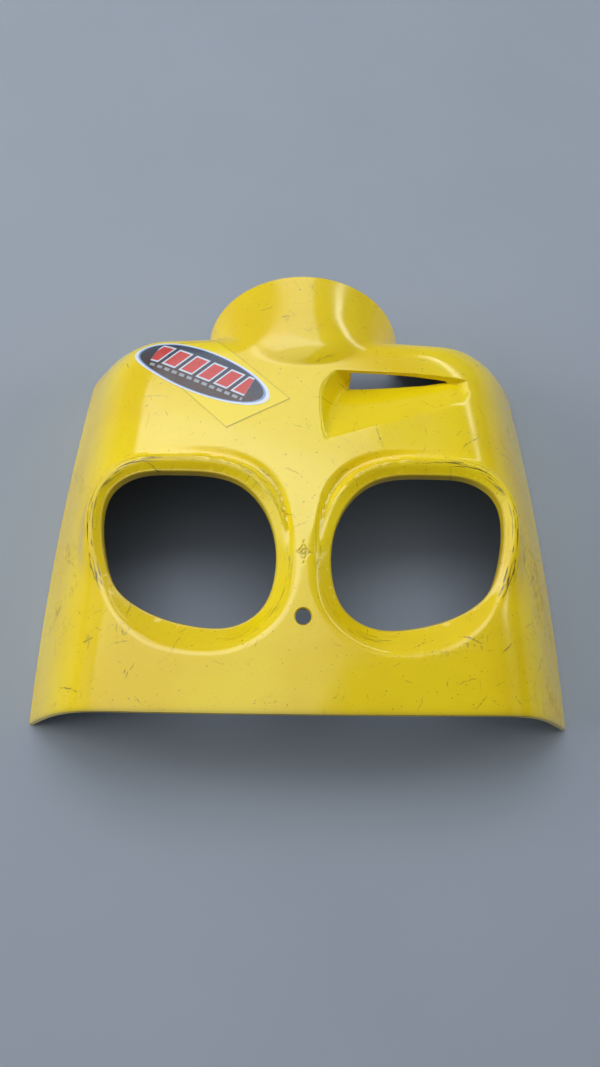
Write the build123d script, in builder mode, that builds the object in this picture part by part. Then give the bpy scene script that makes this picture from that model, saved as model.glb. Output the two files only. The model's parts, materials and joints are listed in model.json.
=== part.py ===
"""Front nose cowl of a small scooter, in millimetres.

One moulded shell with two lamp openings, a half-round hood over the instrument end, an air
scoop on one side and a centre fixing hole.  It lies face up on its rear rim, which is the
plane z = 0.  +X runs across the cowl, +Y from its lower edge to its hood, +Z out of its face.
The origin is the middle of the bounding box in X and Y, on the rim plane.
"""
import math
import os

from build123d import *

# ---------------------------------------------------------------- overall sizes
rim_width = 283.4          # across the rear rim, near the lower edge
overall_length = 234.0     # lower edge to the hood's crown
face_height = 74.0         # highest point of the plain face above the rim
wall = 2.6                 # moulded wall, measured square to the surface

# ---------------------------------------------------------------- outer form
flank_lean = 27.0          # degrees from vertical, side walls
back_lean = 19.5           # degrees from vertical, wall under the hood
face_radius = 800.0        # crown of the face, both ways
face_crown = 108.0         # lower edge to the highest point of the face
flank_radius = 1443.0      # the rim narrows towards the hood along this arc
flank_straight = 8.0       # the rim keeps its width for this far above the lower edge
back_radius = 1776.0       # the back wall bows outwards along this arc
shoulder_radius = 19.0     # corner between flank and back wall, in plan
shoulder_least = 3.0       # the tightest that corner gets on the inside
edge_blend = 49.0          # height over which the face rolls over into the walls
back_setback = 6.9         # hood crown to the foot of the back wall
edge_lead = 3.0            # the middle of the lower edge stands this far ahead of its corners

# ---------------------------------------------------------------- hood
hood_radius = 56.2
hood_crown = 74.0          # height of the crown at the hood's rim
hood_rise = 5.5            # degrees, the crown climbs towards the rim
hood_rim_lean = 12.7       # degrees, the rim leans back from vertical
hood_length = 84.0         # how far the barrel reaches into the cowl from its rim

# ---------------------------------------------------------------- lamp openings
eye_x = 54.9               # centre of an opening from the centre line
eye_above_edge = 78.6      # centre of an opening above the lower edge
lens_height = 67.5         # plane of the opening above the rim, at its centre
lens_rise = 0.145          # the plane climbs towards the hood by this much per millimetre
lens_fall = 0.05           # and falls towards the flank
bowl_width = 12.0          # sloping surround, in plan
bowl_land = 0.6            # flat left around the opening, inside the surround
bowl_depth = 11.0
bead_width = 7.5           # raised rim around an opening
bead_height = 1.4
bead_round = 1.2
bead_reach = 14.0          # how far a bead runs down into the shell
eye_outline = [            # right-hand opening, from its centre; +x is towards the flank
    (43.4, 11.6), (40.0, 28.0), (28.3, 36.2), (10.1, 37.8), (-6.5, 37.1), (-22.7, 32.4),
    (-34.9, 20.1), (-40.9, 3.6), (-41.1, -13.3), (-34.9, -29.2), (-21.5, -37.2),
    (-5.3, -37.4), (9.2, -34.3), (23.7, -28.2), (35.5, -18.1), (40.6, -5.7),
]
outline_samples = 40

# ---------------------------------------------------------------- centre hole and mark
hole_radius = 4.35
hole_above_edge = 44.1
boss_radius = 8.0
boss_depth = 2.4           # below the inside of the wall
star_above_edge = 75.2
star_length = 11.0
star_width = 8.6
star_waist = 2.1
star_line = 0.7            # width of the engraved line
star_depth = 0.4

# ---------------------------------------------------------------- air scoop, on the +X side
scoop_plan = [                 # x, and distance below the hood's crown; first the crease's two ends
    (10.3, 99.1), (82.0, 73.1), (84.5, 66.0), (80.0, 58.5), (22.0, 56.9), (15.0, 63.5), (9.0, 78.5),
]
scoop_mouth = 56.9             # distance of the mouth's upper lip below the hood's crown
mouth_lean = 3.8               # the foot of the mouth's wall is this much further down the face
scoop_depth = 10.5             # below the face, at the mouth's inner end
scoop_shallow = 2.6            # below the face, at the mouth's outer end
ramp_wall = 1.1                # wall under the ramp, measured upright, as a share of the wall
slot_inner = 26.0              # x of the slot's blunt end
slot_outer = 75.0              # x of the slot's pointed end
slot_height = 6.0              # at its blunt end
slot_end_height = 0.6          # at its pointed end
slot_above_ramp = 0.8          # slot's lower edge above the foot of the ramp

# ---------------------------------------------------------------- fixing tabs and clip nuts
tab_rows = {"lower": 28.0, "upper": 178.0}   # distance above the lower edge
tab_height = 12.0          # underside of a tab above the rim
tab_thickness = 2.6
tab_reach = 20.0
tab_width = 17.0
tab_hole_radius = 4.2
tab_hole_inset = 9.0       # hole centre from the tab's free end
tab_bite = 0.8             # how far a tab runs into the wall
gusset = 11.0
gusset_thickness = 1.6
clip_sheet = 0.7
clip_width = 12.0
clip_length = 15.0
clip_neck_radius = 3.6
clip_neck_height = 3.2
clip_hole_radius = 2.1     # core of an M5 thread
clip_entry_radius = 2.8    # clearance for the screw in the leaf it enters by

# ---------------------------------------------------------------- stickers
film_thickness = 0.25
oval_thickness = 0.25
oval_centre = (-54.8, 57.9)   # x, and distance below the hood's crown
oval_length = 81.0
oval_width = 27.0
oval_turn = -26.0          # degrees
film_margin = 0.8          # clear film outside the oval
film_corners = [(-88.0, 51.5), (-35.2, 93.3), (-7.1, 75.9), (-44.0, 47.4)]
scrap_length = 4.4
scrap_width = 3.1
scrap_turn = 45.0          # degrees
scrap_place = (-28.6, 31.6)   # from the left opening's centre; -x is towards the centre line

# ---------------------------------------------------------------- worked out from the above
lower_edge_y = -overall_length / 2
hood_rim_y = overall_length / 2
eye_y = lower_edge_y + eye_above_edge
back_foot_y = hood_rim_y - back_setback
high_y = lower_edge_y + face_crown
tan_flank = math.tan(math.radians(flank_lean))
tan_back = math.tan(math.radians(back_lean))
deep = 200.0               # further than anything reaches
ramp_drop = wall * ramp_wall
wall_drop = wall * math.hypot(1, bowl_depth / bowl_width)   # wall along an opening's axis


def rounded_min(a, b, blend):
    """The lower of two heights, rounded where they are within blend of each other."""
    h = max(blend - abs(a - b), 0.0) / blend
    return min(a, b) - h**3 * blend / 6


def half_width(y):
    """Half the width of the rim at y."""
    past_straight = max(y - lower_edge_y - flank_straight, 0.0)
    return rim_width / 2 - past_straight**2 / (2 * flank_radius)


def wall_height(x, y, inset):
    """Height of the flank or back wall above (x, y), by halving the interval."""
    side = half_width(y) - inset / math.cos(math.radians(flank_lean)) - abs(x)
    back = back_foot_y - inset / math.cos(math.radians(back_lean)) - x * x / (2 * back_radius) - y
    radius = max(shoulder_radius - inset, shoulder_least)
    low, high = -80.0, 320.0   # well below the rim and well above the face
    halvings = 26
    for _ in range(halvings):
        z = (low + high) / 2
        u = side - z * tan_flank
        v = back - z * tan_back
        inside = min(u, v)
        if u < radius and v < radius:
            inside = radius - math.hypot(radius - u, radius - v)
        low, high = (z, high) if inside > 0 else (low, z)
    return (low + high) / 2


def face_surface(x, y, inset):
    """Height of the plain face, without the walls."""
    return face_height - inset - (x * x + (y - high_y) ** 2) / (2 * face_radius)


def cowl_height(x, y, inset=0.0):
    """Height of the cowl's plain skin, or of the skin inset by a wall."""
    return rounded_min(face_surface(x, y, inset), wall_height(x, y, inset), edge_blend - inset)


def cowl_block(inset):
    """Everything under the plain skin, open-ended below the rim and past the lower edge."""
    spacing = 8.0          # between the points the skin is fitted through
    fit = 0.03             # how closely it is fitted
    margin = 16.0          # how far it is carried past the rim
    past_edge = 20.0       # and how much further past the lower edge
    bottom = -60.0         # no point lies lower than this
    columns = 2 * math.ceil((rim_width / 2 + margin) / spacing)
    rows = math.ceil((overall_length + 2 * margin + past_edge) / spacing)
    x_step = (rim_width + 2 * margin) / columns
    points = []
    for column in range(columns + 1):
        x = -rim_width / 2 - margin + column * x_step
        ys = [back_foot_y + margin - row * spacing for row in range(rows + 1)]
        points.append([Vector(x, y, max(cowl_height(x, y, inset), bottom)) for y in ys])
    skin = Face.make_surface_from_array_of_points(points, tol=fit)
    with BuildPart() as block:
        extrude(skin, amount=deep, dir=(0, 0, -1))
    return block.part


def barrel_block(inset):
    """The hood's half-round barrel with straight legs, before its rim is cut."""
    rise = math.radians(hood_rise)
    axis_z = hood_crown - hood_radius / math.cos(rise)
    past_rim = 12.0
    start = Plane(
        origin=(0, hood_rim_y + past_rim * math.cos(rise), axis_z + past_rim * math.sin(rise)),
        x_dir=(1, 0, 0),
        z_dir=(0, -math.cos(rise), -math.sin(rise)),
    )
    radius = hood_radius - inset
    with BuildPart() as barrel:
        with BuildSketch(start):
            Circle(radius)
            with Locations((0, -deep / 2)):
                Rectangle(2 * radius, deep)
        extrude(amount=hood_length + past_rim)
    return barrel.part


def grown_outline(grow):
    """The right-hand opening's outline, grown evenly by an amount."""
    with BuildLine(mode=Mode.PRIVATE) as base:
        Spline(*eye_outline, periodic=True)
    edge = base.edges()[0]
    points = []
    for sample in range(outline_samples):
        at = sample / outline_samples
        tangent = edge.tangent_at(at)
        outward = Vector(tangent.Y, -tangent.X, 0)
        points.append(edge.position_at(at) + outward * grow)
    return points


def eye_sketch(plane, grow):
    """The outline as a face on a plane."""
    with BuildSketch(plane) as sketch:
        with BuildLine():
            Spline(*grown_outline(grow), periodic=True)
        make_face()
    return sketch


eye_plane = Plane(
    origin=(eye_x, eye_y, lens_height),
    x_dir=(1, 0, -lens_fall),
    z_dir=(lens_fall, -lens_rise, 1),
)


def opening_bowl(drop):
    """The sloping surround's void, moved down along the opening's axis by an amount."""
    over = 1.4             # carried on past the face, at the same slope
    foot = eye_sketch(eye_plane.offset(-drop), bowl_land)
    mouth = eye_sketch(eye_plane.offset(bowl_depth * over - drop), bowl_land + bowl_width * over)
    with BuildPart() as bowl:
        loft([foot.sketch, mouth.sketch])
    return bowl.part


def bead_block(inset):
    """The raised rim around an opening, filled in, or the hollow behind it."""
    with BuildPart() as bead:
        foot = eye_sketch(eye_plane.offset(-bead_reach), bead_width - inset)
        extrude(foot.sketch, amount=bead_reach + bead_height - inset, dir=eye_plane.z_dir)
        if inset == 0:
            fillet(bead.edges().group_by(SortBy.LENGTH)[-1].sort_by(Axis.Z)[-1], bead_round)
    return bead.part


def scoop_depth_at(x):
    """How far the foot of the ramp lies below the plain face at x."""
    inner_x, outer_x = scoop_plan[0][0], scoop_plan[1][0]
    return scoop_depth + (x - inner_x) / (outer_x - inner_x) * (scoop_shallow - scoop_depth)


def ramp_foot(x):
    """Height of the ramp where it meets the mouth's wall."""
    return cowl_height(x, hood_rim_y - scoop_mouth - mouth_lean) - scoop_depth_at(x)


def scoop_section(x, drop, grow):
    """Side view of the scoop at x: ramp, mouth wall, and a lid well above the face."""
    (inner_x, inner_below), (outer_x, outer_below) = scoop_plan[:2]
    along = (x - inner_x) / (outer_x - inner_x)
    crease_y = hood_rim_y - inner_below + along * (inner_below - outer_below)
    mouth_y = hood_rim_y - scoop_mouth + grow
    foot_y = mouth_y - mouth_lean
    above_face = 10.0
    lid = face_height + above_face
    crease_z = cowl_height(x, crease_y) - drop
    foot_z = ramp_foot(x) - drop
    slope = (foot_z - crease_z) / (foot_y - crease_y)
    before = 30.0          # the ramp's slope is carried on this far before its crease
    with BuildSketch(Plane.YZ.offset(x)) as section:
        with BuildLine():
            Polyline(
                (crease_y - before, crease_z - slope * before),
                (foot_y, foot_z),
                (mouth_y, cowl_height(x, mouth_y)),
                (mouth_y, lid),
                (crease_y - before, lid),
                close=True,
            )
        make_face()
    return section.sketch


def scoop_block(drop, grow):
    """The scoop's void; drop lowers its ramp and grow widens it, to leave a wall around it."""
    beyond = 12.0          # the sections stand this far outside the plan's ends
    ends = (scoop_plan[0][0] - beyond, scoop_plan[1][0] + beyond)
    plan = [(x, hood_rim_y - below) for x, below in scoop_plan]
    with BuildPart() as scoop:
        loft([scoop_section(x, drop, grow) for x in ends], ruled=True)
        with BuildSketch():
            with BuildLine():
                Polyline(*plan, close=True)
            make_face()
            if grow > 0:
                offset(amount=grow, kind=Kind.INTERSECTION)
        extrude(amount=deep, mode=Mode.INTERSECT)
    return scoop.part


def slot_block():
    """The tapering slot through the mouth's wall."""
    blunt = ramp_foot(slot_inner) + slot_above_ramp
    point = ramp_foot(slot_outer) + slot_above_ramp
    before = 8.0           # the cutter starts this far in front of the mouth
    behind = 1.0           # and ends this far behind its wall
    through = before + wall + behind
    with BuildPart() as slot:
        with BuildSketch(Plane.XZ.offset(scoop_mouth + before - hood_rim_y)):
            with BuildLine():
                Polyline(
                    (slot_inner, blunt),
                    (slot_outer, point),
                    (slot_outer, point + slot_end_height),
                    (slot_inner, blunt + slot_height),
                    close=True,
                )
            make_face()
        extrude(amount=-through)
    return slot.part


def star_outline(grow):
    """The centring mark's four points and four waists, from its middle."""
    points = []
    for quarter in range(4):
        length = (star_length if quarter % 2 else star_width) / 2 + grow
        for angle, radius in ((quarter * 90, length), (quarter * 90 + 45, star_waist + grow)):
            turn = math.radians(angle)
            points.append((radius * math.cos(turn), radius * math.sin(turn)))
    return points


# ---------------------------------------------------------------- the shell
lower_edge_z = cowl_height(0, lower_edge_y)
lower_edge_cut = Plane(
    origin=(0, lower_edge_y, lower_edge_z),
    x_dir=(1, 0, 0),
    z_dir=(0, lower_edge_z, edge_lead),
)
hood_rim_cut = Plane(
    origin=(0, hood_rim_y, hood_crown),
    x_dir=(1, 0, 0),
    z_dir=(0, math.cos(math.radians(hood_rim_lean)), -math.sin(math.radians(hood_rim_lean))),
)

with BuildPart() as barrel:
    add(barrel_block(0))
    split(bisect_by=hood_rim_cut, keep=Keep.BOTTOM)

with BuildPart() as bowls:
    add(opening_bowl(0))
    mirror(about=Plane.YZ)

with BuildPart() as beads:
    add(bead_block(0))
    mirror(about=Plane.YZ)

with BuildPart() as bowl_walls:
    add(opening_bowl(wall_drop))
    mirror(about=Plane.YZ)

with BuildPart() as bead_hollows:
    add(bead_block(wall))
    mirror(about=Plane.YZ)

with BuildPart() as openings:
    extrude(eye_sketch(eye_plane.offset(-deep / 2), 0).sketch, amount=deep, dir=eye_plane.z_dir)
    mirror(about=Plane.YZ)

with BuildPart() as hollow:
    add(cowl_block(wall))
    add(barrel_block(wall))
    add(bowl_walls.part, mode=Mode.SUBTRACT)
    add(scoop_block(ramp_drop, wall), mode=Mode.SUBTRACT)
    add(bead_hollows.part)

hole_y = lower_edge_y + hole_above_edge
star_y = lower_edge_y + star_above_edge
hole_skin = cowl_height(0, hole_y)
star_skin = cowl_height(0, star_y)


def tab_place(row, side):
    """Where a tab's underside meets the inside of the flank, and its hole's centre."""
    y = lower_edge_y + tab_rows[row]
    inside = half_width(y) - wall / math.cos(math.radians(flank_lean)) - tab_height * tan_flank
    return side * inside, y, side * (inside - tab_reach + tab_hole_inset)


def tab_block(row, side):
    """A fixing tab with its two gussets, reaching in from a flank."""
    root_x, y, hole_x = tab_place(row, side)
    top = tab_height + tab_thickness
    with BuildPart() as tab:
        with BuildSketch(Plane.XY.offset(tab_height)):
            with Locations((root_x - side * (tab_reach - tab_bite) / 2, y)):
                Rectangle(tab_reach + tab_bite, tab_width)
            with Locations((hole_x, y)):
                Circle(tab_hole_radius, mode=Mode.SUBTRACT)
        extrude(amount=tab_thickness)
        for edge_y in (y - tab_width / 2, y + tab_width / 2 - gusset_thickness):
            with BuildSketch(Plane.XZ.offset(-edge_y - gusset_thickness)):
                with BuildLine():
                    foot_x = root_x - side * (tab_thickness * tan_flank - tab_bite)
                    Polyline(
                        (foot_x, top),
                        (foot_x - side * gusset * tan_flank, top + gusset),
                        (foot_x - side * gusset, top),
                        close=True,
                    )
                make_face()
            extrude(amount=gusset_thickness)
    return tab.part


def clip_nut(row, side):
    """A spring-steel nut that slides over a tab's free end."""
    root_x, y, hole_x = tab_place(row, side)
    end_x = root_x - side * tab_reach
    middle_z = tab_height + tab_thickness / 2
    inner, outer = tab_thickness / 2, tab_thickness / 2 + clip_sheet
    with BuildPart() as clip:
        with BuildSketch(Plane.XZ.offset(-y)):
            with Locations((end_x, middle_z)):
                Circle(outer)
            with Locations((end_x + side * clip_length / 2, middle_z)):
                Rectangle(clip_length, 2 * outer)
                Rectangle(clip_length, 2 * inner, mode=Mode.SUBTRACT)
            with Locations((end_x, middle_z)):
                Circle(inner, mode=Mode.SUBTRACT)
        extrude(amount=clip_width / 2, both=True)
        with BuildSketch(Plane.XY.offset(middle_z + outer)):
            with Locations((hole_x, y)):
                Circle(clip_neck_radius)
        extrude(amount=clip_neck_height)
        with BuildSketch(Plane.XY.offset(middle_z)):
            with Locations((hole_x, y)):
                Circle(clip_hole_radius)
        extrude(amount=outer + clip_neck_height, mode=Mode.SUBTRACT)
        with BuildSketch(Plane.XY.offset(middle_z - outer)):
            with Locations((hole_x, y)):
                Circle(clip_entry_radius)
        extrude(amount=outer, mode=Mode.SUBTRACT)
    return clip.part


with BuildPart() as cowl_shell:
    add(cowl_block(0))
    add(barrel.part)
    split(bisect_by=Plane.XY, keep=Keep.TOP)
    split(bisect_by=lower_edge_cut, keep=Keep.TOP)
    add(bowls.part, mode=Mode.SUBTRACT)
    add(beads.part)
    add(scoop_block(0, 0), mode=Mode.SUBTRACT)
    add(hollow.part, mode=Mode.SUBTRACT)
    add(openings.part, mode=Mode.SUBTRACT)
    add(slot_block(), mode=Mode.SUBTRACT)
    # boss and bore of the centre fixing hole
    with BuildSketch(Plane.XY.offset(hole_skin - wall - boss_depth)):
        with Locations((0, hole_y)):
            Circle(boss_radius)
    extrude(amount=boss_depth + wall / 2)
    with BuildSketch(Plane.XY.offset(hole_skin - wall - boss_depth)):
        with Locations((0, hole_y)):
            Circle(hole_radius)
    extrude(amount=deep, mode=Mode.SUBTRACT)
    # engraved centring mark
    with BuildSketch(Plane.XY.offset(star_skin - star_depth)):
        with Locations((0, star_y)):
            with BuildLine():
                Polyline(*star_outline(star_line / 2), close=True)
            make_face()
            with BuildLine():
                Polyline(*star_outline(-star_line / 2), close=True)
            make_face(mode=Mode.SUBTRACT)
    extrude(amount=deep, mode=Mode.SUBTRACT)
    for row in tab_rows:
        for side in (1, -1):
            add(tab_block(row, side))

# ---------------------------------------------------------------- stickers
oval_at = (oval_centre[0], hood_rim_y - oval_centre[1])


def lifted_skin(lift):
    """Everything under the plain skin, lifted by the stickers below."""
    return cowl_block(0).moved(Location((0, 0, lift)))


def oval_prism(grow):
    """An upright prism on the oval sticker's outline."""
    with BuildPart() as prism:
        with BuildSketch():
            with Locations(Location((*oval_at, 0), (0, 0, oval_turn))):
                Ellipse(oval_length / 2 + grow, oval_width / 2 + grow)
        extrude(amount=deep)
    return prism.part


with BuildPart() as decal_film:
    with BuildSketch():
        with BuildLine():
            Polyline(*[(x, hood_rim_y - below) for x, below in film_corners], close=True)
        make_face()
    extrude(amount=deep)
    add(oval_prism(film_margin))
    add(lifted_skin(film_thickness), mode=Mode.INTERSECT)
    add(lifted_skin(0), mode=Mode.SUBTRACT)

with BuildPart() as decal_oval:
    add(oval_prism(0))
    add(lifted_skin(film_thickness + oval_thickness), mode=Mode.INTERSECT)
    add(lifted_skin(film_thickness), mode=Mode.SUBTRACT)

with BuildPart() as film_scrap:
    with BuildSketch():
        scrap_x, scrap_y = -eye_x - scrap_place[0], eye_y + scrap_place[1]
        with Locations(Location((scrap_x, scrap_y, 0), (0, 0, scrap_turn))):
            Rectangle(scrap_length, scrap_width)
    extrude(amount=deep)
    add(beads.part.moved(Location((0, 0, film_thickness))), mode=Mode.INTERSECT)
    add(beads.part, mode=Mode.SUBTRACT)
    add(cowl_block(0), mode=Mode.SUBTRACT)

# ---------------------------------------------------------------- write the parts
pieces = {
    "cowl_shell": cowl_shell.part,
    "decal_film": decal_film.part,
    "decal_oval": decal_oval.part,
    "film_scrap": film_scrap.part,
}
for row in tab_rows:
    for side, hand in ((1, "right"), (-1, "left")):
        pieces[f"clip_nut_{row}_{hand}"] = clip_nut(row, side)

os.makedirs("parts", exist_ok=True)
for name, piece in pieces.items():
    piece.label = name
    export_step(piece, f"parts/{name}.step")
    box = piece.bounding_box()
    print(name, piece.is_valid, len(piece.solids()), round(piece.volume, 1), box)
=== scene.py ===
"""Scooter nose cowl: a used, yellow moulded cowl with two lamp openings, a hood and an air scoop.

The file is laid out as an add-on.  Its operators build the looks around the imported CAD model:
each visible piece is a surface worked out with numpy, in millimetres, and turned to metres when
it is put into a mesh.  The cowl lies face up: +X across, +Y towards the hood, +Z out of the face.
"""
import json
import math

import bmesh
import bpy
import numpy as np
from bpy.props import FloatProperty, FloatVectorProperty, PointerProperty, StringProperty
from mathutils import Matrix, Vector


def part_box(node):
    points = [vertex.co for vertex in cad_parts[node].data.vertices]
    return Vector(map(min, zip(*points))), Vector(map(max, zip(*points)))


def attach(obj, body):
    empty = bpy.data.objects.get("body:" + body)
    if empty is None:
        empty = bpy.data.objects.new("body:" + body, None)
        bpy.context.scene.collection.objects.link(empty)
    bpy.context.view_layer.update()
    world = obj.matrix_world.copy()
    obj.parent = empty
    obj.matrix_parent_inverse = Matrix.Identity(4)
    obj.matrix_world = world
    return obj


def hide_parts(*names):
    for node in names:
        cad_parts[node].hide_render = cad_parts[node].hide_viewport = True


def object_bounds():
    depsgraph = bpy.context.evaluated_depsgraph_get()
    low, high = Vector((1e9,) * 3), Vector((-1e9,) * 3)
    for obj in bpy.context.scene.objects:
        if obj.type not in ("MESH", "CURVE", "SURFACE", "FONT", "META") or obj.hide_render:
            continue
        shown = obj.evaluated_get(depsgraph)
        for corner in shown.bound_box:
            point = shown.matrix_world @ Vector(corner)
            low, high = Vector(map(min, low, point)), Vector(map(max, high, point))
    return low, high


bl_info = {
    "name": "Scooter nose cowl",
    "version": (1, 0, 0),
    "blender": (4, 5, 0),
    "location": "3D View > Sidebar > Cowl",
    "description": "Builds a worn moulded nose cowl with its stickers and clip nuts",
    "category": "Object",
}

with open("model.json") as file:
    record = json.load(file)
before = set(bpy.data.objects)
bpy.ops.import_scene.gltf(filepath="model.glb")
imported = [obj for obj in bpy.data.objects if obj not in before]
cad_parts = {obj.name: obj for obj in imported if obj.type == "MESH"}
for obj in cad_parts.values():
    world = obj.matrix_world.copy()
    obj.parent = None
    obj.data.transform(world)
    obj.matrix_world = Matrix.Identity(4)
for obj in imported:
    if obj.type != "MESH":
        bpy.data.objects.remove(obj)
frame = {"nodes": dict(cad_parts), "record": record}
CAD_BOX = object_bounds()
MM = 0.001
LOW = [value / MM for value in CAD_BOX[0]]
HIGH = [value / MM for value in CAD_BOX[1]]
MOUNTS = {mount["name"]: mount for mount in frame["record"]["mounts"]}


# ------------------------------------------------------------------ settings
def length(name, description, millimetres):
    """A length property, held in metres, with its default given in millimetres."""
    return FloatProperty(name=name, description=description, default=millimetres * MM,
                         unit="LENGTH", subtype="DISTANCE", precision=5)


def degrees(name, description, value):
    """An angle property, held in radians, with its default given in degrees."""
    return FloatProperty(name=name, description=description, default=math.radians(value),
                         unit="ROTATION", subtype="ANGLE")


def colour(name, description, value):
    """A colour property, kept as an sRGB hex value."""
    return StringProperty(name=name, description=description, default=value)


def power(name, description, watts):
    """The power of a lamp."""
    return FloatProperty(name=name, description=description, default=watts, unit="POWER")


class CowlForm(bpy.types.PropertyGroup):
    """Sizes of the moulded shell."""
    wall: length("Wall", "Thickness of the moulding", 2.6)
    face_height: length("Face height", "Highest point of the plain face above the rim", 74.0)
    face_radius: length("Face radius", "Crown of the face", 800.0)
    face_crown: length("Face crown", "Lower edge to the highest point of the face", 108.0)
    flank_lean: degrees("Flank lean", "Side walls, from vertical", 27.0)
    back_lean: degrees("Back lean", "Wall under the hood, from vertical", 19.5)
    flank_radius: length("Flank radius", "Arc along which the rim narrows", 1443.0)
    back_radius: length("Back radius", "Arc along which the back wall bows", 1776.0)
    shoulder_radius: length("Shoulder radius", "Corner between flank and back, in plan", 19.0)
    edge_blend: length("Edge blend", "Height over which face and walls merge", 49.0)
    back_setback: length("Back setback", "Hood crown to the foot of the back wall", 6.9)
    edge_lead: length("Edge lead", "How far the lower edge's middle leads its corners", 3.0)
    hood_radius: length("Hood radius", "Outside of the half-round hood", 56.2)
    hood_crown: length("Hood crown", "Height of the hood at its rim", 74.0)
    hood_start: length("Hood start", "Hood crown's root, in front of the rim", 53.9)
    hood_swell: length("Hood swell", "Length over which the crown climbs", 20.0)
    hood_rim_lean: degrees("Hood rim lean", "The rim leans back by this", 12.7)
    eye_x: length("Lamp spacing", "Centre of a lamp opening from the centre line", 54.9)
    eye_above_edge: length("Lamp height", "Centre of an opening above the lower edge", 78.6)
    lens_height: length("Lens plane", "Height of the opening's edge at its centre", 66.5)
    lens_rise: FloatProperty(name="Lens rise", description="Climb towards the hood", default=0.17)
    lens_fall: FloatProperty(name="Lens fall", description="Fall towards the flank", default=0.05)
    star_above_edge: length("Mark height", "Centring mark above the lower edge", 75.2)
    cell: length("Mesh cell", "Size of a face of the shell's mesh", 1.42)


class CowlPaint(bpy.types.PropertyGroup):
    """Colours of the cowl and its stickers."""
    plastic: colour("Plastic", "Mass-coloured ABS", "#f2d812")
    plastic_deep: colour("Deep plastic", "Where the colour is thick and shaded", "#e8c80c")
    # the dark colour of scratches and specks, and also of the painted shade along the lower edge
    # and on the lamp lips
    grime_and_painted_shade: colour("Grime", "Road dirt in scratches", "#3a3225")
    # a dark brown that paints the shade inside the shell, in place of the moulding's own yellow
    back_shade_and_dust: colour("Back", "Dusty inside of the moulding", "#4a3d14")
    film: colour("Film", "Aged clear carrier film", "#f0d816")
    print_dark: colour("Print, dark", "Field of the oval", "#3c4453")
    print_brown: colour("Print, brown", "Lower end of the field's fade", "#4a3b35")
    print_border: colour("Print, border", "Outline of the oval", "#cfdcec")
    print_red: colour("Print, red", "Bars across the oval", "#c8463f")
    floor: colour("Floor", "Plain pale floor", "#949eab")


class CowlStage(bpy.types.PropertyGroup):
    """Light and camera."""
    sky: colour("Sky", "Even light from all round", "#dfe8f2")
    sky_strength: FloatProperty(name="Sky strength", description="Brightness of the sky",
                                default=0.20)
    overhead: power("Overhead", "Softbox above, seen in the gloss only", 8.5)
    strip: power("Strip", "Narrow softbox, seen in the gloss only", 2.5)
    hood_strip: power("Hood strip", "Narrow softbox for the hood, seen in the gloss only", 2.4)
    veil: power("Veil", "Broad softbox, seen in the gloss only", 11.0)
    sky_panel: power("Sky panel", "Large soft panel above, not seen in the gloss", 11.5)
    key: power("Key", "Softbox behind and left, not seen in the gloss", 1.5)
    left: power("Left", "Softbox at the left, not seen in the gloss", 14.0)
    right: power("Right", "Fill at the right, not seen in the gloss", 8.0)
    camera_elevation: degrees("Elevation", "Angle of the view below level", 69.0)
    camera_yaw: degrees("Yaw", "Turn of the view from +Y towards +X", 3.2)
    camera_roll: degrees("Roll", "Tilt of the frame", 3.9)
    camera_place: FloatVectorProperty(name="Place", description="Where the camera stands",
                                      default=(-0.0096, -0.1698, 0.4312), subtype="TRANSLATION")
    lens: FloatProperty(name="Lens", description="Focal length on 36 mm film", default=27.0)


# ------------------------------------------------------------------ shape functions
def rounded_min(a, b, blend):
    """The lower of two heights, rounded by a cubic where they are within blend of each other."""
    h = np.maximum(blend - np.abs(a - b), 0.0) / blend
    return np.minimum(a, b) - h ** 3 * blend / 6.0


def rounded_max(a, b, blend):
    """The higher of two heights, rounded in the same way."""
    return -rounded_min(-a, -b, blend)


def ease(low, high, x):
    """0 below low, 1 above high, and a smooth cubic between."""
    t = np.clip((x - low) / (high - low), 0.0, 1.0)
    return t * t * (3.0 - 2.0 * t)


def bell(x, centre, left, right):
    """A bell curve with its own width on each side of its centre."""
    t = (x - centre) / np.where(x < centre, left, right)
    return np.exp(-t * t)


def closed_curve(points, count):
    """Points on the periodic cubic spline through a few points, by chord length."""
    p = np.asarray(points, float)
    n = len(p)
    h = np.linalg.norm(np.roll(p, -1, 0) - p, axis=1)
    before = np.roll(h, 1)
    matrix = np.diag(2.0 * (before + h))
    index = np.arange(n)
    matrix[index, (index - 1) % n] += h
    matrix[index, (index + 1) % n] += before
    slope = (np.roll(p, -1, 0) - p) / h[:, None]
    right = 3.0 * (h[:, None] * np.roll(slope, 1, 0) + before[:, None] * slope)
    tangent = np.linalg.solve(matrix, right)
    along = np.linspace(0.0, h.sum(), count, endpoint=False)
    ends = np.concatenate([[0.0], np.cumsum(h)])
    k = np.clip(np.searchsorted(ends, along, side="right") - 1, 0, n - 1)
    t = ((along - ends[k]) / h[k])[:, None]
    q = (k + 1) % n
    hk = h[k][:, None]
    return ((2 * t ** 3 - 3 * t ** 2 + 1) * p[k] + (t ** 3 - 2 * t ** 2 + t) * hk * tangent[k]
            + (3 * t ** 2 - 2 * t ** 3) * p[q] + (t ** 3 - t ** 2) * hk * tangent[q])


def turn_round(angle):
    """An angle round an opening, counted from -90 below, by 0 at the flank and 90 above."""
    return (angle + 90.0) % 360.0 - 90.0


EYE_OUTLINE = [            # right-hand opening from its centre; +x is towards the flank
    (43.4, 11.6), (40.0, 28.0), (28.3, 36.2), (10.1, 37.8), (-6.5, 37.1), (-22.7, 32.4),
    (-34.9, 20.1), (-40.9, 3.6), (-41.1, -13.3), (-34.9, -29.2), (-21.5, -37.2),
    (-5.3, -37.4), (9.2, -34.3), (23.7, -28.2), (35.5, -18.1), (40.6, -5.7),
]


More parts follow.
